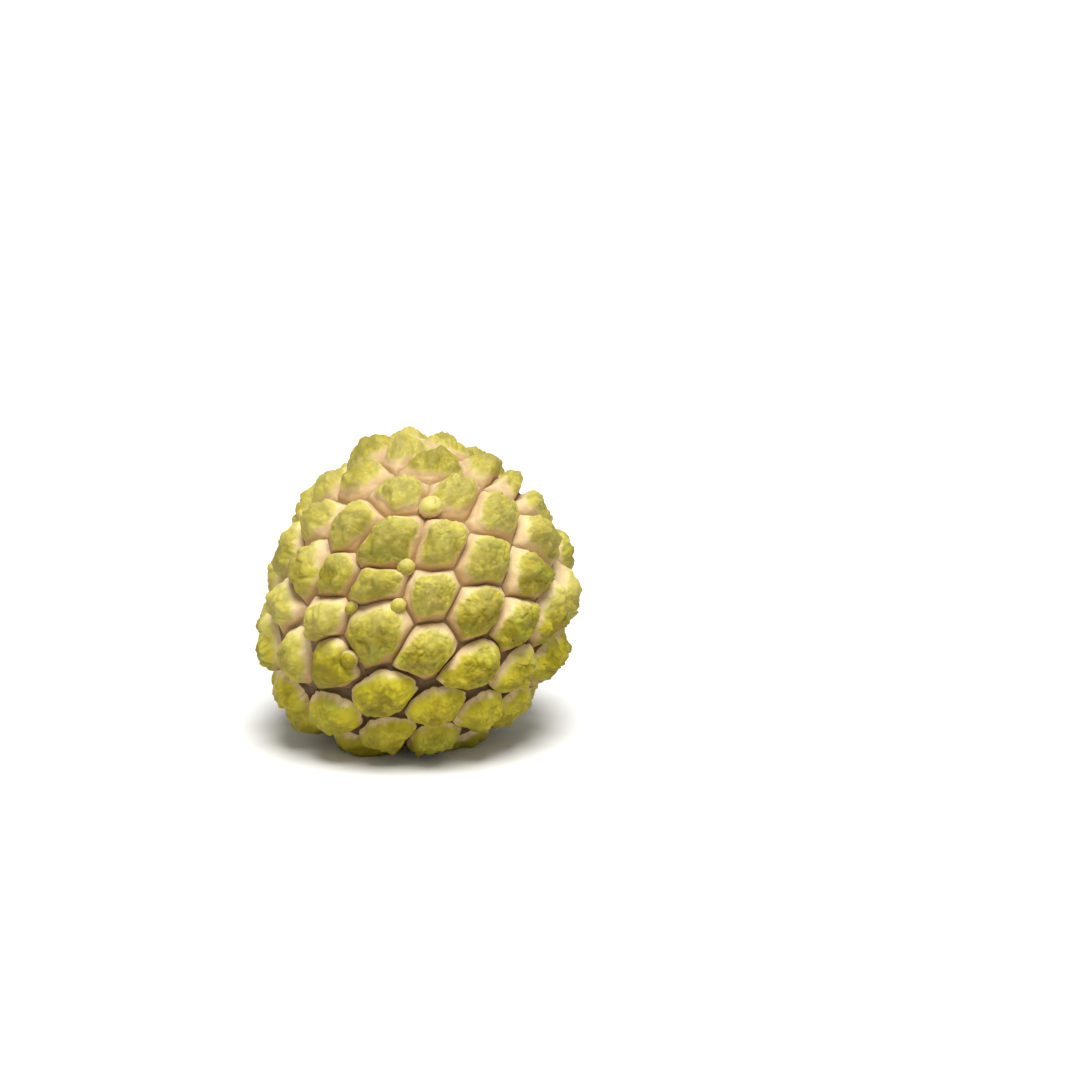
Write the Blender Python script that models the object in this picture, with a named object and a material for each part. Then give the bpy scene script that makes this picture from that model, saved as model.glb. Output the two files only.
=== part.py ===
"""A custard apple (sugar apple): one whole fruit that lies on its side.

The fruit is a compound of knobbly segments fused round one core, so it is a single solid. The segments sit
on a golden-angle spiral that starts at the blossom end, low on the left, and ends at the stem end.
Run with: blender --background --python part.py
"""
import math

import bmesh
import bpy
import numpy as np
from mathutils import Matrix, Vector

# Size of the fruit over its crowns, in metres.
LENGTH = 0.0878            # from the blossom end to the stem end
WIDTH = 0.0816             # across, at the widest
CENTRE_HEIGHT = 0.0384     # from the ground to the middle of the fruit

# Where the blossom end points, in degrees.
APEX_HEADING = -160.4
APEX_ELEVATION = -36.8

# The spiral of segments.
SEGMENTS = 87
SPIRAL_STEP = 137.4        # degrees from one segment to the next
SPIRAL_START = 118.3       # degrees, place of the first segment round the axis
GROWTH_SHIFT = (0.0, -0.087, 0.112)   # the spiral's centre against the fruit's, as a share of its radius

# Segments that grew off the spiral: degrees round the axis, then degrees towards the blossom end.
STRAYS = {
    5: (-4, 6), 8: (7, 0), 10: (-8, 2), 16: (0, 4), 19: (11, 0), 23: (-8, 3), 32: (4, -2), 34: (0, 4),
    37: (-5, -2), 39: (-4, 0), 40: (10, -4), 45: (-4, -5), 47: (-3, 5), 52: (8, 0), 53: (0, -5),
    57: (-6, -4), 60: (0, 4), 65: (0, -4), 68: (3, -3), 71: (-4, 0), 79: (9, -3), 81: (5, -6),
    84: (0, -8), 86: (-10, 3),
}

# Broad swellings and hollows of the body: heading, elevation and spread in degrees, then share of the radius.
BROAD_SHAPES = (
    (174.0, 14.0, 27.0, -0.095),      # the flat left flank
    (115.0, 73.0, 16.0, 0.07),        # the high shoulder on top
)
STEM_PIT_SPREAD = 13.0     # degrees
STEM_PIT_DEPTH = -0.11     # share of the radius

# One segment, from its crease to its crown.
RELIEF = 0.0046            # height of the crown over the crease
FLANK_INSET = 0.0009
FLANK_RISE = 0.0042
CROWN_INSET = 0.0022
CROWN_RISE = 0.0022
CROWN_LEAN = 0.0010        # how far a crown leans over towards the blossom end
CREASE_SHARPNESS = 0.6

# Where the fruit settles on the ground.
SETTLE_SOFTNESS = 0.0009   # height over which the underside eases into the ground
FOOT_CUT = 0.0010          # depth of the flats that the lowest crowns are pressed to

SKIN_COLOUR = (0.40, 0.42, 0.05, 1.0)
SKIN_ROUGHNESS = 0.55


def compass(heading, elevation):
    """Unit vector that points along a heading and an elevation, both in degrees."""
    turn = math.radians(heading)
    tilt = math.radians(elevation)
    return np.array([math.cos(tilt) * math.cos(turn), math.cos(tilt) * math.sin(turn), math.sin(tilt)])


APEX = compass(APEX_HEADING, APEX_ELEVATION)


def unit(vectors):
    """The same vectors, each of length one."""
    return vectors / np.linalg.norm(vectors, axis=-1, keepdims=True)


def spiral_directions():
    """Direction of each segment from the fruit's centre, blossom end first."""
    order = np.arange(SEGMENTS)
    along = 1 - 2 * order / SEGMENTS
    turn = np.radians(SPIRAL_START - SPIRAL_STEP * order)
    ring = np.sqrt(1 - along ** 2)
    local = np.stack([ring * np.cos(turn), ring * np.sin(turn), along], axis=1)
    tip_over = Matrix.Rotation(math.radians(90 - APEX_ELEVATION), 3, "Y")
    swing = Matrix.Rotation(math.radians(APEX_HEADING), 3, "Z")
    directions = unit(local @ np.array(swing @ tip_over).T + GROWTH_SHIFT)
    for index, (around, onward) in STRAYS.items():
        place = directions[index]
        north = unit(APEX - APEX @ place * place)
        east = np.cross(north, place)
        directions[index] = unit(place + math.radians(around) * east + math.radians(onward) * north)
    return directions


def broad_shape(direction):
    """Share by which the body swells or sinks in a direction."""
    share = 1.0
    stem_pit = (APEX_HEADING + 180, -APEX_ELEVATION, STEM_PIT_SPREAD, STEM_PIT_DEPTH)
    for heading, elevation, spread, amount in (*BROAD_SHAPES, stem_pit):
        angle = math.degrees(math.acos(np.clip(direction @ compass(heading, elevation), -1, 1)))
        share += amount * math.exp(-(angle / spread) ** 2)
    return share


def crease_point(direction):
    """Point of the body at the foot of the creases: an ellipsoid with broad swellings."""
    along = direction @ APEX
    half_length = LENGTH / 2 - RELIEF
    half_width = WIDTH / 2 - RELIEF
    radius = 1 / math.sqrt((1 - along ** 2) / half_width ** 2 + along ** 2 / half_length ** 2)
    return Vector(direction * radius * broad_shape(direction))


def add_cells(mesh, directions):
    """Add one many-sided face for each segment, whose corners lie between that segment and its neighbours."""
    hull = bmesh.new()
    for direction in directions:
        hull.verts.new(direction)
    bmesh.ops.convex_hull(hull, input=hull.verts)
    bmesh.ops.recalc_face_normals(hull, faces=hull.faces)
    hull.verts.ensure_lookup_table()
    hull.faces.index_update()
    corners = []
    for face in hull.faces:
        equidistant = np.array(face.normal)
        balanced = unit(np.array(face.calc_center_median()))
        corners.append(mesh.verts.new(crease_point(unit(equidistant + balanced))))
    cells = []
    for index in range(len(directions)):
        first = hull.verts[index].link_loops[0]
        around = [corners[first.face.index]]
        loop = first.link_loop_prev.link_loop_radial_next
        while loop != first:
            around.append(corners[loop.face.index])
            loop = loop.link_loop_prev.link_loop_radial_next
        cells.append(mesh.faces.new(around))
    hull.free()
    return cells


def raise_segments(mesh, cells):
    """Raise each cell into a crown with a steep flank, a rounded shoulder and a lean to the blossom end."""
    mesh.normal_update()
    for inset, rise in ((FLANK_INSET, FLANK_RISE), (CROWN_INSET, CROWN_RISE)):
        bmesh.ops.inset_individual(mesh, faces=cells, thickness=inset, depth=rise, use_even_offset=True)
    for cell in cells:
        middle = cell.calc_center_median().normalized()
        onward = Vector(APEX) - Vector(APEX).dot(middle) * middle
        for vertex in cell.verts:
            vertex.co += onward * CROWN_LEAN


def settle(mesh):
    """Ease everything that would sink below the ground back up to it."""
    for vertex in mesh.verts:
        height = (vertex.co.z + CENTRE_HEIGHT) / SETTLE_SOFTNESS
        vertex.co.z = SETTLE_SOFTNESS * float(np.logaddexp(0, height)) - CENTRE_HEIGHT


def fruit_mesh():
    """The whole fruit around its centre, before it is smoothed."""
    mesh = bmesh.new()
    sharpness = mesh.edges.layers.float.new("crease_edge")
    cells = add_cells(mesh, spiral_directions())
    creases = list(mesh.edges)
    raise_segments(mesh, cells)
    for edge in creases:
        edge[sharpness] = CREASE_SHARPNESS
    settle(mesh)
    data = bpy.data.meshes.new("custard_apple")
    mesh.to_mesh(data)
    mesh.free()
    data.shade_smooth()
    return data


def skin_material():
    """The yellow-green skin."""
    material = bpy.data.materials.new("skin")
    material.use_nodes = True
    shader = material.node_tree.nodes["Principled BSDF"]
    shader.inputs["Base Color"].default_value = SKIN_COLOUR
    shader.inputs["Roughness"].default_value = SKIN_ROUGHNESS
    shader.inputs["Metallic"].default_value = 0.0
    return material


def ground_cutter():
    """A block whose top face is the ground, to press the lowest crowns flat."""
    side = 2 * LENGTH
    bpy.ops.mesh.primitive_cube_add(size=side, location=(0, 0, FOOT_CUT - CENTRE_HEIGHT - side / 2))
    cutter = bpy.context.object
    cutter.name = "ground_cutter"
    cutter.display_type = "WIRE"
    cutter.hide_render = True
    return cutter


def build_fruit():
    """The fruit, smoothed, pressed flat where it stands, and moved to stand on the origin."""
    fruit = bpy.data.objects.new("custard_apple", fruit_mesh())
    bpy.context.collection.objects.link(fruit)
    fruit.data.materials.append(skin_material())
    smoothing = fruit.modifiers.new("smoothing", "SUBSURF")
    smoothing.levels = 1
    smoothing.render_levels = 1
    pressing = fruit.modifiers.new("pressing", "BOOLEAN")
    pressing.operation = "DIFFERENCE"
    pressing.solver = "EXACT"
    ground = ground_cutter()
    pressing.object = ground
    bpy.context.view_layer.update()
    evaluated = fruit.evaluated_get(bpy.context.evaluated_depsgraph_get())
    corners = np.array(evaluated.bound_box)
    middle = (corners.min(axis=0) + corners.max(axis=0)) / 2
    place = Vector((-middle[0], -middle[1], -corners[:, 2].min()))
    fruit.location = place
    ground.location += place


for leftover in list(bpy.data.objects):
    bpy.data.objects.remove(leftover)
build_fruit()
bpy.context.view_layer.update()
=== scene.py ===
"""The looks of a custard apple: its knobbly skin, its stem scar, and a soft studio stage."""
import math

import bpy
import numpy as np
from bpy.props import FloatProperty, FloatVectorProperty, IntProperty, PointerProperty
from mathutils import Euler, Matrix, Vector


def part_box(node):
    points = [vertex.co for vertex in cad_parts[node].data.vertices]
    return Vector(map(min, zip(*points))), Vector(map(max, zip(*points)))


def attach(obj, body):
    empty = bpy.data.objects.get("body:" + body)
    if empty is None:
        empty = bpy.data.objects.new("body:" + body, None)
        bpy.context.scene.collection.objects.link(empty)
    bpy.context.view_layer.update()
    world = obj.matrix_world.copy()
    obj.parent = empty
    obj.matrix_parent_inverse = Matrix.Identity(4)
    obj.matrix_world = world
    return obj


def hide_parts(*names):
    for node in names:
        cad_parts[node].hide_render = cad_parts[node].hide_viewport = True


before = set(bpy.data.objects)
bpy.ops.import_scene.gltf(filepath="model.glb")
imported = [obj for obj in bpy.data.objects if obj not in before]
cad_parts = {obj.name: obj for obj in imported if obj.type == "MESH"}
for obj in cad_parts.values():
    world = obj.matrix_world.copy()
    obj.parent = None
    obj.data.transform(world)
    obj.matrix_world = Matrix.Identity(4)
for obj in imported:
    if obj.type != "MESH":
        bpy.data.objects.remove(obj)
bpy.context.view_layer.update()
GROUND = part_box("custard_apple")[0][2]

bl_info = {
    "name": "Custard Apple",
    "version": (1, 0, 0),
    "blender": (4, 5, 0),
    "location": "3D View > Sidebar > Custard Apple",
    "description": "Dresses a custard apple in its knobbly skin and lights it softly",
    "category": "Add Mesh",
}

MM = 0.001

# The body, in metres.
FRUIT_LENGTH = 0.0878                  # over the crowns, from the blossom end to the stem end
FRUIT_WIDTH = 0.0816                   # over the crowns, across
RELIEF = 0.0046                        # from crease level to the crowns
FRUIT_CENTRE = (-0.00077, 0.00011, 0.0374)
SETTLE_SOFTNESS = 0.9 * MM             # height over which the underside eases into the ground
FOOT_CUT = 1.0 * MM                    # depth of the flats that the lowest crowns are pressed to
CORE_DEPTH = 0.12 * MM                 # of the surface under the segments, below crease level

# Where the blossom end points, and the spiral of segments that starts there. Angles are in degrees.
APEX_HEADING = -160.4
APEX_ELEVATION = -36.8
SEGMENTS = 87
SPIRAL_STEP = 137.4                    # from one segment to the next
SPIRAL_START = 118.3                   # place of the first segment round the axis
GROWTH_SHIFT = (0.0, -0.087, 0.112)    # the spiral's centre against the fruit's, as a share of its radius

# The cells round the segments. Lengths are in millimetres.
RADIUS = FRUIT_WIDTH / 2 / MM
SEGMENT_SPACING = 17.0
RIVALS = 16                            # how many of the nearest segments can share a crease with one
CELL_STRETCH = 0.36                    # how much the segments are drawn out along the fruit
CELL_ROUNDING = 9.0                    # power that rounds the cells' corners off, less for a higher one
CREASE_WOBBLE = 0.6                    # how far the creases wander
WOBBLE_WIDTH = 5.5                     # width of the wobble's waves

# Segments that grew off the spiral: degrees round the axis, then degrees towards the blossom end.
STRAYS = {
    5: (-4, 6), 8: (7, 0), 10: (-8, 2), 16: (0, 4), 19: (11, 0), 21: (-2, 0), 23: (-8, 3), 26: (-1, 2),
    29: (-4, -1), 32: (4, -2), 34: (0, 4), 37: (-5, -2), 39: (-4, 0), 40: (10, -4), 45: (-4, -5), 47: (-3, 5),
    52: (8, 0), 53: (0, -5), 57: (-6, -4), 60: (0, 4), 65: (0, -4), 68: (3, -3), 71: (-4, 0), 79: (9, -3),
    81: (5, -6), 84: (0, -8), 86: (-10, 3),
}

# Broad swellings and hollows of the body: heading, elevation and spread in degrees, then share of the radius.
BROAD_SHAPES = (
    (174.0, 14.0, 27.0, -0.095),                             # the flat left flank
    (115.0, 73.0, 18.0, 0.09),                               # the high shoulder on top
    (APEX_HEADING + 180, -APEX_ELEVATION, 13.0, -0.11),      # the pit of the stem
)

# Segments that grew larger or smaller: how far their creases move outwards, in millimetres.
SWELLINGS = {13: -0.5, 21: 0.9, 26: -0.5, 47: 0.7}

# Tips that stand apart as beads, by their segment: how far they lie towards the blossom end and round the
# fruit from its middle, their half length, half width and top over the crease, in millimetres.
BEADS = {
    55: (11.8, 1.3, 2.4, 2.2, 3.3), 42: (9.4, 3.4, 2.2, 2.0, 3.1), 34: (9.8, 0.2, 1.9, 1.6, 2.6),
    21: (10.2, -1.0, 2.5, 2.3, 4.7), 68: (8.8, -0.4, 3.3, 2.9, 4.7), 7: (9.0, 0.5, 2.2, 2.0, 3.2),
    61: (9.0, -1.0, 2.4, 2.1, 3.3), 48: (8.8, 1.0, 2.1, 2.0, 3.0), 70: (8.6, 0.0, 2.3, 2.2, 3.3),
    36: (8.8, -0.6, 2.6, 2.2, 3.4), 17: (9.0, 0.8, 2.2, 2.0, 3.2), 59: (9.2, 0.2, 2.1, 1.9, 3.0),
}

# Segments drawn out into a lobe: its turn from the blossom end, in degrees, and how far it reaches out, as a
# share of the segment's radius.
LOBES = {
    29: (17, 0.20), 37: (18, 0.22), 47: (5, 0.16), 58: (10, 0.12), 39: (0, 0.12), 45: (8, 0.15),
    16: (0, 0.08), 13: (12, 0.12), 24: (20, 0.12), 76: (10, 0.05), 8: (10, 0.08), 32: (12, 0.12),
    51: (10, 0.14), 43: (-8, 0.14), 64: (5, 0.12), 72: (-6, 0.12), 30: (8, 0.16), 22: (-10, 0.14),
    56: (6, 0.15),
}
LOBE_SPREAD = 0.55                     # half width of a lobe, in radians

# Patterns on the segments: the width of their features, in millimetres, and their seed.
WAVES = (4.5, 3)                       # of the whole segment
CAP_SWAY = (4, 5)                      # of the cap's edge
CAP_FRAY = (1.3, 4)                    # of the cap's edge, finer
HEART_SWAY = (4.5, 8)                  # of the dark heart's edge
SWELLS = (3.2, 6)
LUMPS = (3.6, 31)
FOLDS = (1.7, 21)
BEAD_FOLDS = (1.9, 21)
PIMPLES = (0.9, 41)
PATTERN_SHIFT = 60                     # millimetres, so that no two segments look alike

# Their heights, in millimetres.
SWELL_HEIGHT = 0.55
LUMP_HEIGHT = 0.8
PIMPLE_HEIGHT = 0.06
FOLD_MEAN = 0.6                        # about the mean of folds and lumps, which adds no height

# Depths under crease level, in millimetres.
SKIRT_DEPTH = 2.5
ROOT_DEPTH = 12
BEAD_ROOT_DEPTH = 4

RISE_UNIT = 5                          # height that the rise mask calls 1, in millimetres
BEAD_SPAN = 2.4                        # angle from a bead's top to its rim, in radians

# Where the middle of the fruit stands in the picture, from its middle, as shares of the picture's width.
PLACE_IN_VIEW = (-0.11574, -0.05556)
SENSOR_WIDTH = 36.0                    # millimetres
FLOOR_SIDE = 80.0                      # metres

# The four pieces that the spiral is shown as, each by its first segment.
PIECES = {"blossom_end_segments": 0, "lower_segments": 22, "upper_segments": 44, "stem_end_segments": 65}


class FruitShape(bpy.types.PropertyGroup):
    """Sizes of the fruit's skin."""
    grid: IntProperty(
        name="Grid", description="Cells along each side of a segment's patch", default=62, min=8)
    flank_height: FloatProperty(
        name="Flank height", description="Height of a segment's smooth flank over its crease",
        default=2.9 * MM, unit="LENGTH", precision=4)
    cap_height: FloatProperty(
        name="Cap height", description="Height of a segment's green cap over its flank", default=3.0 * MM,
        unit="LENGTH", precision=4)
    cap_share: FloatProperty(
        name="Cap share", description="Share of a segment's width that its green cap covers", default=0.92,
        min=0, max=1)
    wrinkle: FloatProperty(
        name="Wrinkle", description="Height of the folds on a cap", default=0.38 * MM, unit="LENGTH",
        precision=4)


class FruitColours(bpy.types.PropertyGroup):
    """Colours of the fruit's skin, some also used as painted shade and painted highlights."""
    crown: FloatVectorProperty(
        name="Crown", description="Yellow-green of the crowns", subtype="COLOR", size=4, min=0, max=1,
        default=(0.45, 0.38, 0.014, 1))
    # Olive of the crowns' dark patches, also used as painted shade on their lower sides and between their
    # folds.
    crown_olive_and_shade: FloatVectorProperty(
        name="Crown, deep", description="Olive of the crowns' dark patches", subtype="COLOR", size=4, min=0,
        max=1, default=(0.21, 0.167, 0.002, 1))
    # Dark olive used as painted shade on the low crowns' lower sides and on the underside, and as the colour
    # of small spots.
    crown_shade_and_spots: FloatVectorProperty(
        name="Crown, shaded", description="Dark olive of the low crowns' undersides and of small spots",
        subtype="COLOR", size=4, min=0, max=1, default=(0.11, 0.088, 0.003, 1))
    crown_fresh: FloatVectorProperty(
        name="Crown, fresh", description="Fresh green of some patches", subtype="COLOR", size=4, min=0,
        max=1, default=(0.28, 0.38, 0.035, 1))
    # Pale yellow, partly the crowns' own paler edges and partly a painted highlight on their upper sides and
    # highest points.
    crown_pale_and_highlight: FloatVectorProperty(
        name="Crown, pale", description="Pale yellow of the crowns' ridges", subtype="COLOR", size=4, min=0,
        max=1, default=(0.66, 0.595, 0.21, 1))
    flank: FloatVectorProperty(
        name="Flank", description="Cream of the smooth flanks", subtype="COLOR", size=4, min=0, max=1,
        default=(0.74, 0.58, 0.34, 1))
    # Tan of the flanks, in faint patches and mostly as painted shade on their lower sides and towards the
    # creases.
    flank_tan_and_shade: FloatVectorProperty(
        name="Flank, deep", description="Tan of the flanks near the creases", subtype="COLOR", size=4,
        min=0, max=1, default=(0.40, 0.24, 0.085, 1))
    crease: FloatVectorProperty(
        name="Crease", description="Brown of the creases", subtype="COLOR", size=4, min=0, max=1,
        default=(0.20, 0.115, 0.045, 1))
    # Dark brown used as painted shade in the wide creases near the ground.
    crease_ground_shade: FloatVectorProperty(
        name="Crease, deep", description="Dark brown of the wide creases near the ground", subtype="COLOR",
        size=4, min=0, max=1, default=(0.05, 0.03, 0.012, 1))
    cork: FloatVectorProperty(
        name="Cork", description="Light brown of the stem scar", subtype="COLOR", size=4, min=0, max=1,
        default=(0.36, 0.24, 0.12, 1))
    cork_deep: FloatVectorProperty(
        name="Cork, deep", description="Dark brown of the stem scar's cracks", subtype="COLOR", size=4,
        min=0, max=1, default=(0.10, 0.06, 0.028, 1))


class StageLook(bpy.types.PropertyGroup):
    """Camera, floor and lights."""
    distance: FloatProperty(
        name="Camera distance", description="From the camera to the middle of the fruit", default=0.676,
        unit="LENGTH")
    elevation: FloatProperty(
        name="Camera elevation", description="Angle at which the camera looks down", default=math.radians(15),
        subtype="ANGLE")
    focal_length: FloatProperty(
        name="Focal length", description="Lens of the camera", default=85.0, min=1, unit="CAMERA")
    sun_power: FloatProperty(
        name="Sun power", description="Power of the soft light from above", default=4.15, min=0)
    room_light: FloatProperty(
        name="Room light", description="Strength of the even light from all sides", default=0.32, min=0)


# ---------------------------------------------------------------------------------------------------------
# Numbers: directions, noise and the skin's relief
# ---------------------------------------------------------------------------------------------------------

def unit(vectors):
    """The same vectors, each of length one."""
    return vectors / np.linalg.norm(vectors, axis=-1, keepdims=True)


def compass(heading, elevation):
    """Unit vector that points along a heading and an elevation, both in degrees."""
    turn = math.radians(heading)
    tilt = math.radians(elevation)
    return np.array([math.cos(tilt) * math.cos(turn), math.cos(tilt) * math.sin(turn), math.sin(tilt)])


APEX = compass(APEX_HEADING, APEX_ELEVATION)


def ease(low, high, values):
    """0 at low and before it, 1 at high and past it, and 3t² - 2t³ between. Low may be the larger one."""
    share = np.clip((values - low) / (high - low), 0, 1)
    return share * share * (3 - 2 * share)


def onward_and_around(places):
    """For each place on the unit sphere, the tangents towards the blossom end and round the axis."""
    onward = unit(APEX - (places @ APEX)[:, None] * places)
    return onward, np.cross(onward, places)


def spiral_directions():
    """Segment n sits 137.4 n degrees round the axis, at height 1 - 2 n / 87 along it. The whole spiral is
    then shifted by a share of the radius, put back on the unit sphere, and a few strays are moved."""
    order = np.arange(SEGMENTS)
    along = 1 - 2 * order / SEGMENTS
    turn = np.radians(SPIRAL_START - SPIRAL_STEP * order)
    ring = np.sqrt(1 - along ** 2)
    local = np.stack([ring * np.cos(turn), ring * np.sin(turn), along], axis=1)
    tip_over = Matrix.Rotation(math.radians(90 - APEX_ELEVATION), 3, "Y")
    swing = Matrix.Rotation(math.radians(APEX_HEADING), 3, "Z")
    places = unit(local @ np.array(swing @ tip_over).T + GROWTH_SHIFT)
    onward, around = onward_and_around(places)
    moves = np.zeros((SEGMENTS, 2))
    moves[list(STRAYS)] = np.radians(list(STRAYS.values()))
    return unit(places + moves[:, :1] * around + moves[:, 1:] * onward)


def disc_grid(count):
    """A square grid eased onto a disc: the square's (u, v), each from -1 to 1, goes to
    (u sqrt(1 - v²/2), v sqrt(1 - u²/2)). Gives each point's turn and share of the radius, the four-sided
    faces, and the points on the rim in order."""
    u, v = np.meshgrid(np.linspace(-1, 1, count + 1), np.linspace(-1, 1, count + 1), indexing="ij")
    x = u * np.sqrt(1 - v ** 2 / 2)
    y = v * np.sqrt(1 - u ** 2 / 2)
    corner = np.arange((count + 1) ** 2).reshape(count + 1, count + 1)
    faces = np.stack([corner[:-1, :-1], corner[:-1, 1:], corner[1:, 1:], corner[1:, :-1]], axis=-1)
    rim = np.concatenate([corner[0, :-1], corner[:-1, -1], corner[-1, :0:-1], corner[:0:-1, 0]])
    return np.arctan2(y, x).ravel(), np.hypot(x, y).ravel(), faces.reshape(-1, 4), rim


def cell_reach(places, onward, around, turns):
    """Angle from each segment's place to its crease, and the same rounded off at the cell's corners, for
    rows of turns about the place.

    Segments i and j meet where (d - i) M (d - i) - w = (d - j) M (d - j) - w'. M shortens lengths along
    the pair's mean heading n to the blossom end, M = 1 - k n n, so cells are drawn out that way. With
    g = M (i - j) and c = (w' - w + i M i - j M j) / 2, the crease along a heading h is where
    (i . g) cos r + (h . g) sin r = c, and the least r over the rivals counts. The rounded one is
    (sum of r^-9)^(-1/9). Segments that swell have a larger w.
    """
    weight = np.zeros(SEGMENTS)
    weight[list(SWELLINGS)] = np.array(list(SWELLINGS.values())) * 2 * SEGMENT_SPACING / RADIUS ** 2
    everyone = spiral_directions()
    everyones_onward = onward_and_around(everyone)[0]
    nearest = np.argsort(-places @ everyone.T, axis=1)[:, :RIVALS + 1]
    own, near = nearest[:, 0], nearest[:, 1:]
    rivals = everyone[near]
    heading = np.cos(turns)[..., None] * onward[:, None] + np.sin(turns)[..., None] * around[:, None]
    mean_onward = (onward[:, None] + everyones_onward[near]) / 2
    apart = places[:, None] - rivals
    across = apart - CELL_STRETCH * (mean_onward * apart).sum(axis=2, keepdims=True) * mean_onward
    own_onward = (mean_onward * places[:, None]).sum(axis=2)
    their_onward = (mean_onward * rivals).sum(axis=2)
    level = weight[near] - weight[own][:, None] - CELL_STRETCH * (own_onward ** 2 - their_onward ** 2)
    a = np.einsum("ik,ijk->ij", places, across)[:, None]
    b = np.einsum("imk,ijk->imj", heading, across)
    reach = np.arctan2(b, a) + np.arccos(np.clip(level[:, None] / 2 / np.hypot(a, b), -1, 1))
    return reach.min(axis=2), (reach ** -CELL_ROUNDING).sum(axis=2) ** (-1 / CELL_ROUNDING)


def scatter(cells, seed):
    """Three steady pseudo-random numbers from -1 to 1 for each whole-number cell (x, y, z). Large odd factors
    and shifts spread the cell's bits, and each number is 16 bits of the result."""
    whole = cells.astype(np.int64).astype(np.uint64)
    mixed = whole[..., 0] * np.uint64(73856093) ^ whole[..., 1] * np.uint64(19349663)
    mixed = mixed ^ whole[..., 2] * np.uint64(83492791) ^ np.uint64(seed * 2654435761)
    mixed = (mixed ^ (mixed >> np.uint64(29))) * np.uint64(0xBF58476D1CE4E5B9)
    mixed = (mixed ^ (mixed >> np.uint64(32))) * np.uint64(0x94D049BB133111EB)
    mixed = mixed ^ (mixed >> np.uint64(31))
    parts = [(mixed >> np.uint64(shift)) & np.uint64(0xFFFF) for shift in (0, 16, 32)]
    return np.stack(parts, axis=-1).astype(float) / 32767.5 - 1


def ripple(points, seed):
    """Gradient noise, about -1 to 1: each cube corner has its own slope, and the eight slopes are blended by
    6t⁵ - 15t⁴ + 10t³ along each side, then scaled up by 1.6."""
    floor = np.floor(points)
    inside = points - floor
    blend = inside ** 3 * (inside * (inside * 6 - 15) + 10)
    total = np.zeros(len(points))
    for corner in np.ndindex(2, 2, 2):
        corner = np.array(corner)
        slope = (scatter(floor + corner, seed) * (inside - corner)).sum(axis=1)
        total += slope * np.where(corner, blend, 1 - blend).prod(axis=1)
    return total * 1.6


def cobbles(points, seed):
    """Rounded lumps from 0 to 1, each about one unit wide: every cube cell holds one seed point, up to 0.42
    from its middle along each side. With f and g the distances to the nearest and next seed, the lump is a
    smooth step of g - f from -0.05 to 0.62."""
    floor = np.floor(points)
    nearest = np.full(len(points), 9.0)
    second = nearest.copy()
    for step in np.ndindex(3, 3, 3):
        cell = floor + np.array(step) - 1
        distance = np.linalg.norm(cell + 0.5 + 0.42 * scatter(cell, seed) - points, axis=1)
        second = np.minimum(second, np.maximum(nearest, distance))
        nearest = np.minimum(nearest, distance)
    return ease(-0.05, 0.62, second - nearest)


def folds(points, seed):
    """Puffy skin from 0 to 1, in a space that noise bends: a quarter of it is the size of gradient noise to
    the power 0.7, which has thin valleys, a fifth is the same at half the width, and the rest is cobbles."""
    bend = np.stack([ripple(points * 0.7, seed + shift) for shift in (11, 12, 13)], axis=1)
    warped = points + 0.5 * bend
    puffs = np.minimum(np.abs(ripple(warped, seed)) * 2.2, 1) ** 0.7
    small_puffs = np.minimum(np.abs(ripple(warped * 2.1, seed + 1)) * 2.2, 1) ** 0.7
    return 0.25 * puffs + 0.2 * small_puffs + 0.55 * cobbles(warped * 1.15, seed + 2)


def broad_shape(directions):
    """1, plus for each broad swelling its amount times exp(-(angle / spread)²)."""
    share = np.ones(directions.shape[:-1])
    for heading, elevation, spread, amount in BROAD_SHAPES:
        angle = np.degrees(np.arccos(np.clip(directions @ compass(heading, elevation), -1, 1)))
        share += amount * np.exp(-(angle / spread) ** 2)
    return share


def body_radius(directions):
    """Distance from the middle to crease level, in metres: 1 / sqrt((1 - c²) / w² + c² / l²), where c is the
    cosine to the axis and w and l are half the width and length, times the share of the broad shapes."""
    along = directions @ APEX
    half_length = FRUIT_LENGTH / 2 - RELIEF
    half_width = FRUIT_WIDTH / 2 - RELIEF
    radius = 1 / np.sqrt((1 - along ** 2) / half_width ** 2 + along ** 2 / half_length ** 2)
    return radius * broad_shape(directions)


def settle(points):
    """Ease the underside into the ground as s ln(1 + exp(z / s)), press it flat there, and put the fruit
    in its place."""
    height = (points[..., 2] + FRUIT_CENTRE[2] + FOOT_CUT) / SETTLE_SOFTNESS
    height = SETTLE_SOFTNESS * np.logaddexp(0, height) - FOOT_CUT
    settled = points + np.array(FRUIT_CENTRE)
    settled[..., 2] = np.maximum(height, 0)
    return settled + (0, 0, GROUND)


def wobble(directions):
    """The same directions, each moved by smooth noise, so that the creases aren't perfectly even."""
    flat = directions.reshape(-1, 3)
    shift = [ripple(flat * RADIUS / WOBBLE_WIDTH, seed) for seed in (61, 62, 63)]
    return unit(flat + CREASE_WOBBLE / RADIUS * np.stack(shift, axis=1)).reshape(directions.shape)


def patch_frames(order):
    """Middles of these segments, their tangents towards the blossom end and round it, and three chances."""
    places = spiral_directions()[order]
    chance = scatter(np.stack([order * 3, order * 5, order * 7], axis=1), 5)
    return places, *onward_and_around(places), chance


def turned(places, onward, around, turns, angle):
    """Unit vectors at an angle from each place, along its turns."""
    tangent = np.cos(turns)[..., None] * onward[:, None] + np.sin(turns)[..., None] * around[:, None]
    return np.cos(angle)[..., None] * places[:, None] + np.sin(angle)[..., None] * tangent


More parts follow.
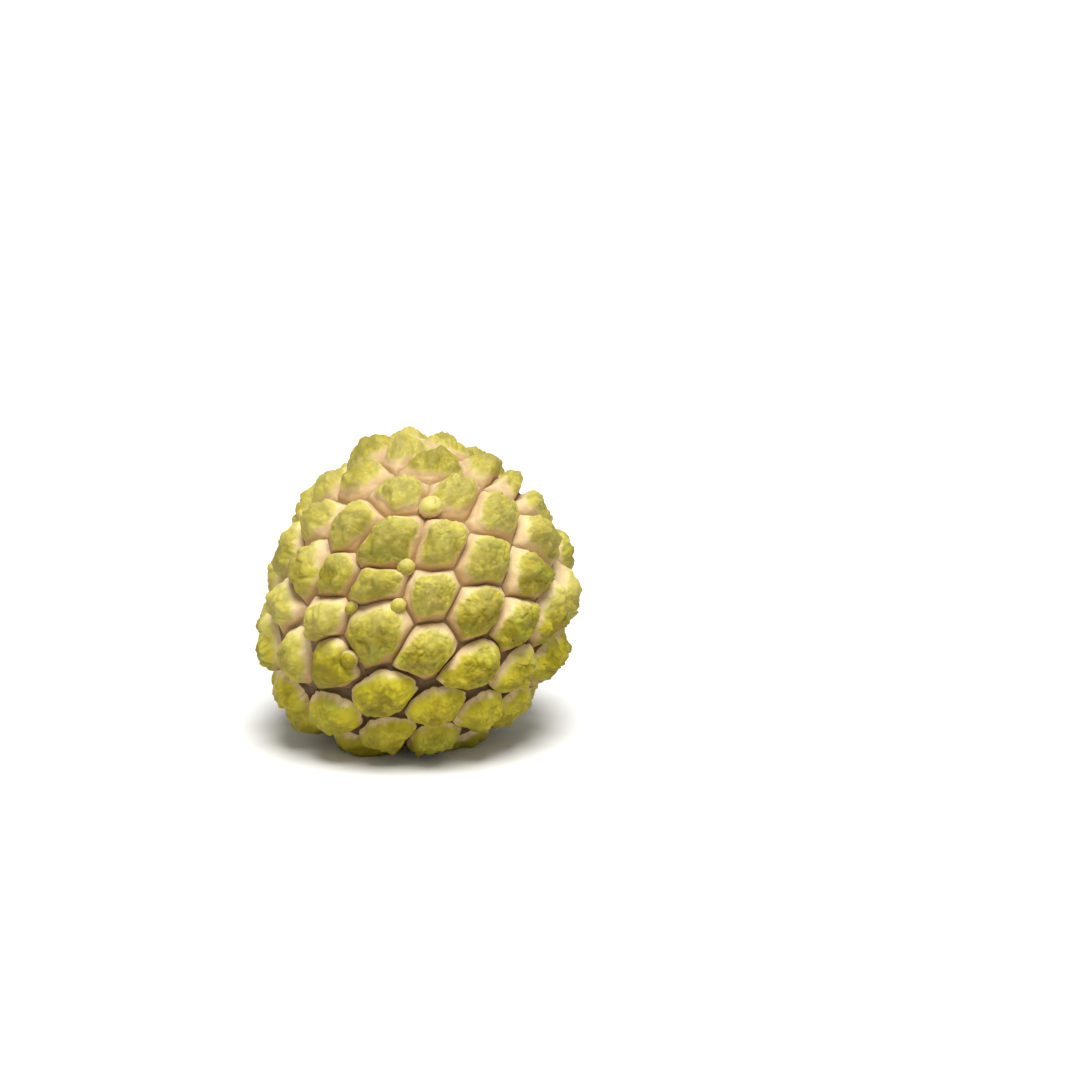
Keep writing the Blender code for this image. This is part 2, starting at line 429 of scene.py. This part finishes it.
def closed_patches(name, tops, skirts, deep, masks, faces, rim):
    """One mesh of closed patches: each has its grid of points, a ring of points under its rim and a point
    deep under its middle. Points are in millimetres about the fruit's centre."""
    count, rim_count = tops.shape[1], len(rim)
    skirt = count + np.arange(rim_count)
    after = np.roll(np.arange(rim_count), -1)
    walls = np.stack([rim, rim[after], skirt[after], skirt], axis=-1)
    bottoms = np.stack([skirt, skirt[after], np.full(rim_count, count + rim_count)], axis=-1)
    points = np.concatenate([tops, skirts, deep[:, None]], axis=1) * MM
    jumps = np.arange(len(tops))[:, None, None] * points.shape[1]
    quads = (np.concatenate([faces, walls]) + jumps).reshape(-1, 4)
    piece = mesh_object(name, settle(points).reshape(-1, 3), quads, (bottoms + jumps).reshape(-1, 3))
    for mask, values in masks.items():
        layer = piece.data.attributes.new(mask, "FLOAT", "POINT")
        values = np.broadcast_to(values, tops.shape[:2])
        values = np.concatenate([values, values[:, rim], values[:, rim[:1]]], axis=1)
        layer.data.foreach_set("value", values.ravel().astype(np.float32))
    return piece


def lowness(places):
    """0 from 4 mm above the fruit's middle, and 1 from 22 mm below it, where its segments stand apart."""
    return ease(4, -22, places[:, 2] * RADIUS)[:, None]


def paleness(places):
    """How much paler the segments are: 0.45 at the very top, 0.35 on the flank at the left, 0 elsewhere. The
    limits are millimetres from the fruit's middle."""
    left = ease(-10, -34, places[:, 0] * RADIUS) * ease(-26, 4, places[:, 2] * RADIUS)
    return np.maximum(0.35 * left, 0.45 * ease(2, 36, places[:, 2] * RADIUS))[:, None]


def shadow_side(points):
    """0 from 20 mm below the fruit's middle, and 1 from 36 mm below it, on the underside."""
    return ease(-20, -36, points[..., 2])


def lobes(order, turns):
    """How much further each segment reaches along these turns, as a share: its lobe's size times
    exp(-(t / 0.55)²), t being the turn from the middle of the lobe in radians."""
    middle, size = np.transpose([LOBES.get(index, (0, 0)) for index in order])[..., None]
    off_middle = (turns - np.radians(middle) + np.pi) % (2 * np.pi) - np.pi
    return size * np.exp(-(off_middle / LOBE_SPREAD) ** 2)


def segment_patches(name, order, shape):
    """The segments of one stretch of the spiral, each a pillow on its own eased square grid.

    Lengths are in millimetres. At a share r of the way from a segment's middle to its crease, the pillow
    stands h (1 - (r / f)^2.6)^0.9 high, where f is the share that it fills of its cell. Near the ground f is
    smaller, most of all at the cell's corners, so that the segments stand apart and are rounder. The green
    cap, at a share c of the way to its own edge, adds a low plateau of 0.15 H and a dome of
    0.85 H (1 - c^2.4), and it carries swells, lumps and puffy folds. The whole crown also bulges out
    sideways over its crease, most on lobes and, near the ground, towards the blossom end.
    """
    places, onward, around, chance = patch_frames(order)
    turn, ring, faces, rim = disc_grid(shape.grid)
    turns = np.tile(turn, (len(order), 1))
    share = np.tile(0.8 * ring + 0.2 * np.sin(ring * np.pi / 2), (len(order), 1))
    reach, rounded = cell_reach(places, onward, around, turns)
    angle = share * (rounded + (reach - rounded) * share ** 6)
    skin = turned(places, onward, around, turns, angle) * RADIUS
    grain = (skin + PATTERN_SHIFT * chance[:, None]).reshape(-1, 3)

    def pattern(rule, feature):
        width, seed = feature
        return rule(grain / width, seed).reshape(share.shape)

    # What the shapes follow: the segment's height on the fruit and its chances, the way to the blossom end,
    # the corners of its cell, waves, and its lobe.
    low = lowness(places)
    high = ease(12, 38, places[:, 2] * RADIUS)[:, None]
    own = chance[..., None]
    ahead = np.cos(turns)
    corner = 1 - (rounded / reach) ** 2
    wavy = pattern(ripple, WAVES)
    lobe = lobes(order, turns)

    # The pillow.
    fill = 1 - (0.045 - 0.035 * ahead + 0.04 * wavy) * low + lobe
    fill *= 1 - 0.65 * low * corner
    pillow_share = np.clip(share / fill, 0, 1)
    steepness = 0.9 - 0.15 * low * ahead
    flank_height = shape.flank_height / MM * (1 + 0.10 * own[:, 0] + 0.15 * low)
    pillow = flank_height * (1 - pillow_share ** 2.6) ** steepness

    # The green cap.
    cap_size = shape.cap_share + (0.05 + 0.03 * ahead) * low - 0.05 * high + 0.05 * own[:, 1] + lobe
    cap_size *= 1 - (0.4 + 0.8 * low) * corner
    cap_share = share * (1 + 0.06 * ahead) / cap_size + 0.12 * pattern(ripple, CAP_SWAY)
    dome = shape.cap_height / MM * 0.15 * (1 - ease(0.76, 1.0, cap_share))
    dome += shape.cap_height / MM * 0.85 * (1 - np.clip(cap_share, 0, 1) ** 2.4)

    # The relief, which is smoother on the left.
    wrinkled = 0.4 + 0.6 * ease(-24, 10, skin[..., 0] + 8 * own[:, 2])
    fold = pattern(folds, FOLDS)
    inner = 1 - ease(0.74 - 0.22 * low, 1.0 - 0.08 * low, cap_share)
    swells = SWELL_HEIGHT * pattern(ripple, SWELLS)
    lumps = LUMP_HEIGHT * (pattern(cobbles, LUMPS) - FOLD_MEAN)
    height = pillow + dome + wavy * (1 - share ** 4)
    height += (swells + lumps) * inner
    height += shape.wrinkle / MM * wrinkled * (fold - FOLD_MEAN) * 2 * inner
    height += PIMPLE_HEIGHT * pattern(ripple, PIMPLES) * (0.3 + 0.7 * inner) * wrinkled
    height = np.maximum(height, 0) * np.minimum((1 - share) * 10, 1) ** 0.5

    # The points.
    bulge = 0.012 + 0.08 * low * np.clip(0.3 + ahead, 0, 1) + 0.6 * lobe
    bulge *= np.sqrt(np.clip(height / 4, 0, 1))
    directions = wobble(turned(places, onward, around, turns, angle * (1 + bulge * share)))
    tops = directions * (body_radius(directions) / MM + height)[..., None]
    edge = wobble(turned(places, onward, around, turns, reach * 1.02)[:, rim])
    skirts = edge * (body_radius(edge) / MM - SKIRT_DEPTH)[..., None]
    deep = places * (body_radius(places)[:, None] / MM - ROOT_DEPTH)

    # What the colours follow.
    up = np.clip((skin[..., 2] - places[:, None, 2] * RADIUS) * 2 / SEGMENT_SPACING, -1, 1)
    frayed = cap_share + 0.05 * pattern(ripple, CAP_FRAY)
    masks = {
        "cap": 1 - ease(0.70 - 0.16 * up * (1 - low), 1.05, frayed),
        "heart": 1 - ease(0.2, 0.9, cap_share + 0.2 * pattern(ripple, HEART_SWAY)),
        "fold": fold * inner + (1 - inner),
        "rise": height / RISE_UNIT,
        "tone": own[:, 1],
        "low": low,
        "up": up,
        "under": shadow_side(skin),
        "pale": paleness(places),
    }
    return closed_patches(name, tops, skirts, deep, masks, faces, rim)


def bead_patches(name, grid):
    """The beads: each the upper part of a ball, stretched to its length, width and height, with
    faint folds. On it a share r of the way out stands for the angle 2.4 r from its top."""
    order = np.array(list(BEADS))
    ahead, aside, length, width, top = np.array(list(BEADS.values())).T[..., None]
    places, onward, around, chance = patch_frames(order)
    turn, ring, faces, rim = disc_grid(grid)
    middles = unit(places + ahead / RADIUS * onward + aside / RADIUS * around)
    onward, around = onward_and_around(middles)
    slope = ring * BEAD_SPAN
    ball = np.stack([np.sin(slope) * np.cos(turn), np.sin(slope) * np.sin(turn), np.cos(slope)], axis=-1)
    grain = middles[:, None] * RADIUS + PATTERN_SHIFT * chance[:, None] + ball * length[..., None]
    fold_width, fold_seed = BEAD_FOLDS
    fold = folds(grain.reshape(-1, 3) / fold_width, fold_seed).reshape(grain.shape[:2])
    swell = 1 + 0.10 * (fold - FOLD_MEAN)
    out = np.sin(slope) * swell
    east = out * np.sin(turn) * width
    north = out * np.cos(turn) * length
    lift = top - width + np.cos(slope) * width * swell
    base = (middles * (body_radius(middles)[:, None] / MM))[:, None]
    tops = base + north[..., None] * onward[:, None] + east[..., None] * around[:, None]
    tops = tops + lift[..., None] * middles[:, None]
    skirts = tops[:, rim] - middles[:, None] * 0.6
    deep = middles * (body_radius(middles)[:, None] / MM - BEAD_ROOT_DEPTH)
    masks = {
        "cap": 1 - ease(0.42, 0.62, ring),
        "heart": 0.35,
        "fold": fold,
        "rise": lift / RISE_UNIT,
        "tone": chance[:, 1:2],
        "low": lowness(middles),
        "up": (tops - base)[..., 2] / width - 0.3,
        "under": shadow_side(tops),
        "pale": paleness(middles),
    }
    return closed_patches(name, tops, skirts, deep, masks, faces, rim)


def core_surface(name, count):
    """The body under the segments, which shows only as the floor of their deepest creases: the crease-level
    surface 0.12 mm deeper, over angles from pole to pole and round, each pole closed by a fan."""
    tilt = np.linspace(0, np.pi, count + 1)[1:-1, None]
    turn = np.linspace(0, 2 * np.pi, 2 * count, endpoint=False)
    across = np.sin(tilt)
    ball = np.stack([across * np.cos(turn), across * np.sin(turn), np.cos(tilt) + 0 * turn], axis=-1)
    directions = np.concatenate([ball.reshape(-1, 3), [(0, 0, 1), (0, 0, -1)]])
    points = settle(directions * (body_radius(directions)[:, None] - CORE_DEPTH))
    ring = np.arange(ball[..., 0].size).reshape(ball.shape[:2])
    after = np.roll(ring, -1, axis=1)
    quads = np.stack([ring[:-1], ring[1:], after[1:], after[:-1]], axis=-1).reshape(-1, 4)
    top = np.stack([np.full(2 * count, ring.size), ring[0], after[0]], axis=-1)
    bottom = np.stack([np.full(2 * count, ring.size + 1), after[-1], ring[-1]], axis=-1)
    return mesh_object(name, points, quads, np.concatenate([top, bottom]))


def scar_patch(name, grid):
    """The scar of the stem, a squat peg in the pit at the far end of the spiral. A share r of the way out on
    it stands for the angle a = 2 r from its top. It lies R (sin a)^0.6 out and H (cos a)^0.6 up, is fluted
    by cos 7 t round its side, and sinks by exp(-(2.6 r)²) in its middle. Sizes are in millimetres."""
    radius = 3.7
    height = 1.5
    base = 2.6
    hollow = 1.2
    middle = unit(np.array(GROWTH_SHIFT) - APEX)[None]
    onward, around = onward_and_around(middle)
    turn, ring, faces, rim = disc_grid(grid)
    slope = 2.0 * ring
    spot = np.stack([ring * np.cos(turn), ring * np.sin(turn), 0 * ring], axis=1)
    crumble = ripple(spot * 4.5, 71) + 0.6 * ripple(spot * 11, 72)
    sunk = np.exp(-(2.6 * ring) ** 2)
    out = radius * np.sin(slope) ** 0.6 * (1 + 0.04 * np.cos(7 * turn) + 0.035 * crumble)
    lift = base + height * np.sign(np.cos(slope)) * np.abs(np.cos(slope)) ** 0.6
    lift += 0.25 * crumble - hollow * sunk
    ground = middle * (body_radius(middle)[:, None] / MM)
    tops = ground + (out * np.cos(turn))[:, None] * onward + (out * np.sin(turn))[:, None] * around
    tops = (tops + lift[:, None] * middle)[None]
    skirts = tops[:, rim] - middle * 4
    masks = {"crumble": crumble[None], "hollow": sunk[None]}
    return closed_patches(name, tops, skirts, ground - middle * 2, masks, faces, rim)


def mesh_object(name, points, quads, triangles=()):
    """A smooth mesh object at the origin, from four-sided and three-sided faces."""
    mesh = bpy.data.meshes.new(name)
    mesh.from_pydata(points.tolist(), [], [*quads.tolist(), *np.array(triangles).tolist()])
    mesh.shade_smooth()
    piece = bpy.data.objects.new(name, mesh)
    bpy.context.scene.collection.objects.link(piece)
    return piece


# ---------------------------------------------------------------------------------------------------------
# Shader sums
# ---------------------------------------------------------------------------------------------------------

class Field:
    """One shader socket that takes part in Python sums: each sum adds a Math node to its tree."""

    def __init__(self, socket):
        self.socket = socket

    def node(self, kind, settings=None, values=None, output=0):
        """Add any node: its settings first, then the values or links of its sockets."""
        tree = self.socket.id_data
        added = tree.nodes.new(kind)
        for key, value in (settings or {}).items():
            setattr(added, key, value)
        for key, value in (values or {}).items():
            if isinstance(value, Field):
                tree.links.new(value.socket, added.inputs[key])
            else:
                added.inputs[key].default_value = value
        return Field(added.outputs[output])

    def math(self, operation, first, second, clamp=False):
        """A Math node on two values or fields."""
        settings = {"operation": operation, "use_clamp": clamp}
        return self.node("ShaderNodeMath", settings, {0: first, 1: second})

    def __add__(self, other):
        return self.math("ADD", self, other)

    def __sub__(self, other):
        return self.math("SUBTRACT", self, other)

    def __rsub__(self, other):
        return self.math("SUBTRACT", other, self)

    def __mul__(self, other):
        return self.math("MULTIPLY", self, other)

    __radd__ = __add__
    __rmul__ = __mul__

    def clamped(self):
        """The same, kept between 0 and 1."""
        return self.math("ADD", self, 0.0, clamp=True)

    def ramp(self, low, high):
        """0 below low, 1 above high, smooth between."""
        return self.node(
            "ShaderNodeMapRange", {"interpolation_type": "SMOOTHSTEP"},
            {"Value": self, "From Min": low, "From Max": high, "To Min": 0.0, "To Max": 1.0})

    def mix(self, first, second):
        """Colour mix: first where this is 0, second where it is 1."""
        return self.node(
            "ShaderNodeMix", {"data_type": "RGBA"}, {"Factor": self, "A": first, "B": second}, output=2)

    def link(self, socket):
        """Feed this into a shader's socket."""
        self.socket.id_data.links.new(self.socket, socket)


def new_material(name):
    """A material with one Principled shader, that shader, and its Object coordinates as a field."""
    material = bpy.data.materials.new(name)
    material.use_nodes = True
    shader = material.node_tree.nodes["Principled BSDF"]
    coordinates = material.node_tree.nodes.new("ShaderNodeTexCoord")
    return material, shader, Field(coordinates.outputs["Object"])


def noise(place, scale, detail=3.0, roughness=0.5):
    """Noise about 0.5, at a scale in features per metre."""
    return place.node(
        "ShaderNodeTexNoise", None,
        {"Vector": place, "Scale": scale, "Detail": detail, "Roughness": roughness})


def painted(place, name):
    """One of the masks that the piece's points carry."""
    return place.node("ShaderNodeAttribute", {"attribute_name": name}, output=2)


def skin_material(colours):
    """Cream flanks, brown creases, and mottled yellow-green caps with fine pores.

    The masks: cap and heart are 1 on a segment's green cap and in its middle, fold is 1 on top of a fold,
    rise is the height over the crease in units of 5 mm, tone is a chance from -1 to 1 for each segment, low
    and pale are the segment's lowness and paleness, up goes from -1 on a segment's lower side to 1 on its
    upper side, and under is 1 on the underside of the fruit, where painted shade goes.
    """
    material, shader, place = new_material("skin")
    cap, heart, fold, rise, tone = (painted(place, name) for name in ("cap", "heart", "fold", "rise", "tone"))
    low, up, under, pale = (painted(place, name) for name in ("low", "up", "under", "pale"))
    patches = noise(place, 250, detail=4, roughness=0.6).ramp(0.41, 0.60)
    fresh = noise(place, 110, detail=3).ramp(0.52, 0.68)
    speck = noise(place, 900, detail=3, roughness=0.6)
    spots = noise(place, 260, detail=3, roughness=0.6).ramp(0.62, 0.72)
    fray = noise(place, 600, detail=4, roughness=0.6)

    # Green: olive in patches and in the heart; olive as painted shade on the lower side and between folds;
    # fresh green in patches; and dark olive as painted shade on the lower sides near the ground and on the
    # underside.
    # Olive patches and heart, plus painted shade on each crown's lower side.
    deep = patches * 0.55 + heart * 0.55 + (1 - up.ramp(-0.7, 0.5)) * 0.6 - 0.2 - low * 0.22 + tone * 0.15
    deep = (deep - pale * 0.3) * (1.35 - low * 0.35)
    green = deep.clamped().mix(colours.crown, colours.crown_olive_and_shade)
    # Painted shade: dark olive on the low crowns' lower sides and on the fruit's underside.
    shaded = low * (1 - up.ramp(-1.1, 0.3)) * 0.4 + under * 0.4
    green = shaded.clamped().mix(green, colours.crown_shade_and_spots)
    green = (fresh * 0.25).mix(green, colours.crown_fresh)
    # Painted shade: olive in the valleys between the folds.
    green = ((1 - fold.ramp(0.2, 0.65)) * 0.5).mix(green, colours.crown_olive_and_shade)

    # Pale yellow as a painted highlight on the highest points and the upper sides, held back on the underside
    # as painted shade; also on the paler segments at the top and the left flank, and along the cap's edge.
    # Then dark spots.
    pale_and_highlight = rise.ramp(0.85, 1.2) * 0.1 - tone * 0.1 + (speck - 0.5) * 0.3 + pale * 0.4 - low * 0.33
    pale_and_highlight = pale_and_highlight + (1 - cap.ramp(0.3, 1.0)) * (up * 0.3 + 0.4) + up.ramp(0.0, 1.0) * (low * 0.2 + 0.25)
    pale_and_highlight = pale_and_highlight + (1 - heart) * 0.12 - under * 0.4 + up.ramp(-0.2, 1.0) * (0.2 - low * 0.2)
    green = pale_and_highlight.clamped().mix(green, colours.crown_pale_and_highlight)
    green = (spots * 0.4).mix(green, colours.crown_shade_and_spots)

    # Cream: tan in faint patches, and tan and brown as painted shade on the lower side and towards the
    # crease, more near the ground.
    shade = 1 - up.ramp(-0.9, 0.6)
    blush = noise(place, 300, detail=5, roughness=0.65).ramp(0.35, 0.7) * 0.3 + shade * 0.75
    cream = (blush - pale * 0.2).clamped().mix(colours.flank, colours.flank_tan_and_shade)
    cream = ((1 - rise.ramp(0.03, 0.5)) * (shade * 0.7 + 0.25)).mix(cream, colours.flank_tan_and_shade)
    cream = ((1 - rise.ramp(0.02, 0.22)) * (shade * 0.35 + 0.1 + low * 0.3)).mix(cream, colours.crease)

    # The cap's frayed edge, and the crease, darker brown near the ground as painted shade.
    ragged = (cap + (fray - 0.5) * 0.7).ramp(0.15, 0.85)
    skin = ragged.mix(cream, green)
    crease = (1 - (rise - low * 0.20).ramp(0.0, 0.05)) * (1 - pale * 1.2)
    # Painted shade: the creases near the ground darken to dark brown.
    skin = crease.mix(skin, (low * 0.7).mix(colours.crease, colours.crease_ground_shade))
    skin.link(shader.inputs["Base Color"])

    rough = 0.50 + ragged * 0.06 + (speck - 0.5) * 0.25
    rough.link(shader.inputs["Roughness"])
    grain = noise(place, 1500, detail=3, roughness=0.6) * 0.5 + noise(place, 600, detail=2) * ragged
    bump = place.node("ShaderNodeBump", None, {"Height": grain, "Strength": 0.28, "Distance": 0.4 * MM})
    bump.link(shader.inputs["Normal"])
    shader.inputs["Specular IOR Level"].default_value = 0.22
    shader.inputs["Subsurface Weight"].default_value = 0.12
    shader.inputs["Subsurface Radius"].default_value = (1.0, 0.6, 0.2)
    shader.inputs["Subsurface Scale"].default_value = 2 * MM
    return material


def cork_material(colours):
    """Crumbly brown cork, darker in its cracks and in the hollow."""
    material, shader, place = new_material("cork")
    crumble = painted(place, "crumble")
    hollow = painted(place, "hollow")
    grain = noise(place, 1400, detail=4, roughness=0.65)
    cracks = 1 - (crumble * 0.5 + grain).ramp(0.2, 0.8)
    cork = (cracks + hollow * 0.5).clamped().mix(colours.cork, colours.cork_deep)
    cork.link(shader.inputs["Base Color"])
    bump = place.node("ShaderNodeBump", None, {"Height": grain, "Strength": 0.6, "Distance": 0.5 * MM})
    bump.link(shader.inputs["Normal"])
    shader.inputs["Roughness"].default_value = 0.85
    shader.inputs["Specular IOR Level"].default_value = 0.2
    return material


def floor_material():
    """A plain pale matt floor."""
    material, shader, place = new_material("floor")
    mist = noise(place, 3, detail=2)
    mist.mix((0.85, 0.85, 0.85, 1), (0.88, 0.88, 0.88, 1)).link(shader.inputs["Base Color"])
    shader.inputs["Roughness"].default_value = 0.7
    return material


# ---------------------------------------------------------------------------------------------------------
# Operators
# ---------------------------------------------------------------------------------------------------------

def dress(piece, material):
    """Give a piece its material, and its place in the frame."""
    piece.data.materials.append(material)
    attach(piece, "root")
    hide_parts("custard_apple")


class CUSTARDAPPLE_OT_fruit(bpy.types.Operator):
    """Make the whole fruit and put it in place of its plain solid"""
    bl_idname = "custard_apple.fruit"
    bl_label = "Fruit"

    def execute(self, context):
        skin = skin_material(context.scene.custard_apple_colours)
        ends = [*PIECES.values(), SEGMENTS][1:]
        shape = context.scene.custard_apple_shape
        pieces = [segment_patches(name, np.arange(first, end), shape)
                  for (name, first), end in zip(PIECES.items(), ends)]
        pieces.append(bead_patches("tip_beads", shape.grid // 2))
        pieces.append(core_surface("core", 2 * shape.grid))
        for piece in pieces:
            dress(piece, skin)
        return {"FINISHED"}


class CUSTARDAPPLE_OT_stem_scar(bpy.types.Operator):
    """Set the corky scar of the stem into the pit at the far end"""
    bl_idname = "custard_apple.stem_scar"
    bl_label = "Stem scar"

    def execute(self, context):
        grid = context.scene.custard_apple_shape.grid
        dress(scar_patch("stem_scar", grid), cork_material(context.scene.custard_apple_colours))
        return {"FINISHED"}


def add_sun(name, towards, spread, power, colour):
    """A soft light from one side of the room: the direction towards it, and its spread in degrees."""
    lamp = bpy.data.lights.new(name, "SUN")
    lamp.angle = math.radians(spread)
    lamp.energy = power
    lamp.color = colour
    holder = bpy.data.objects.new(name, lamp)
    holder.rotation_euler = Vector(towards).to_track_quat("Z", "Y").to_euler()
    bpy.context.scene.collection.objects.link(holder)


class CUSTARDAPPLE_OT_stage(bpy.types.Operator):
    """Lay the pale floor, hang the soft lights and place the camera"""
    bl_idname = "custard_apple.stage"
    bl_label = "Stage"

    def execute(self, context):
        look = context.scene.custard_apple_stage
        scene = context.scene
        middle = Vector(FRUIT_CENTRE)

        camera = bpy.data.cameras.new("camera")
        camera.lens = look.focal_length
        camera.sensor_width = SENSOR_WIDTH
        holder = bpy.data.objects.new("camera", camera)
        scene.collection.objects.link(holder)
        view = Vector((0, math.cos(look.elevation), -math.sin(look.elevation)))
        holder.location = middle - view * look.distance
        level = Euler((math.pi / 2 - look.elevation, 0, 0)).to_matrix()
        aside, above = (share * SENSOR_WIDTH for share in PLACE_IN_VIEW)
        off_centre = Vector((aside, above, -look.focal_length))
        aim = off_centre.normalized().rotation_difference(Vector((0, 0, -1)))
        holder.rotation_euler = (level @ aim.to_matrix()).to_euler()
        scene.camera = holder

        corners = np.array([(-1, -1), (1, -1), (1, 1), (-1, 1)]) * FLOOR_SIDE / 2
        corners = np.column_stack([corners, np.full(4, GROUND)])
        floor = mesh_object("floor", corners, np.array([[0, 1, 2, 3]]))
        floor.data.materials.append(floor_material())

        add_sun("overhead", (0.06, -0.38, 1.0), spread=32, power=look.sun_power, colour=(1, 0.99, 0.975))
        add_sun("front_fill", (0.1, -1.0, 0.6), spread=50, power=0.2, colour=(1, 0.99, 0.98))

        world = bpy.data.worlds.new("room")
        world.use_nodes = True
        world.node_tree.nodes["Background"].inputs["Color"].default_value = (1, 1, 1, 1)
        world.node_tree.nodes["Background"].inputs["Strength"].default_value = look.room_light
        scene.world = world
        scene.view_settings.view_transform = "Standard"
        return {"FINISHED"}


class CUSTARDAPPLE_PT_panel(bpy.types.Panel):
    """Steps and settings of the custard apple"""
    bl_idname = "CUSTARDAPPLE_PT_panel"
    bl_label = "Custard Apple"
    bl_space_type = "VIEW_3D"
    bl_region_type = "UI"
    bl_category = "Custard Apple"

    def draw(self, context):
        for step in STEPS:
            self.layout.operator(step.bl_idname)
        for name, group in SETTINGS.items():
            column = self.layout.column()
            for setting in group.__annotations__:
                column.prop(getattr(context.scene, name), setting)


SETTINGS = {
    "custard_apple_shape": FruitShape,
    "custard_apple_colours": FruitColours,
    "custard_apple_stage": StageLook,
}
STEPS = (CUSTARDAPPLE_OT_stage, CUSTARDAPPLE_OT_fruit, CUSTARDAPPLE_OT_stem_scar)
CLASSES = (*SETTINGS.values(), *STEPS, CUSTARDAPPLE_PT_panel)


def register():
    for cls in CLASSES:
        bpy.utils.register_class(cls)
    for name, group in SETTINGS.items():
        setattr(bpy.types.Scene, name, PointerProperty(type=group))


def unregister():
    for name in SETTINGS:
        delattr(bpy.types.Scene, name)
    for cls in reversed(CLASSES):
        bpy.utils.unregister_class(cls)


def main():
    register()
    bpy.ops.custard_apple.stage()
    bpy.ops.custard_apple.fruit()
    bpy.ops.custard_apple.stem_scar()


if __name__ == "__main__":
    main()
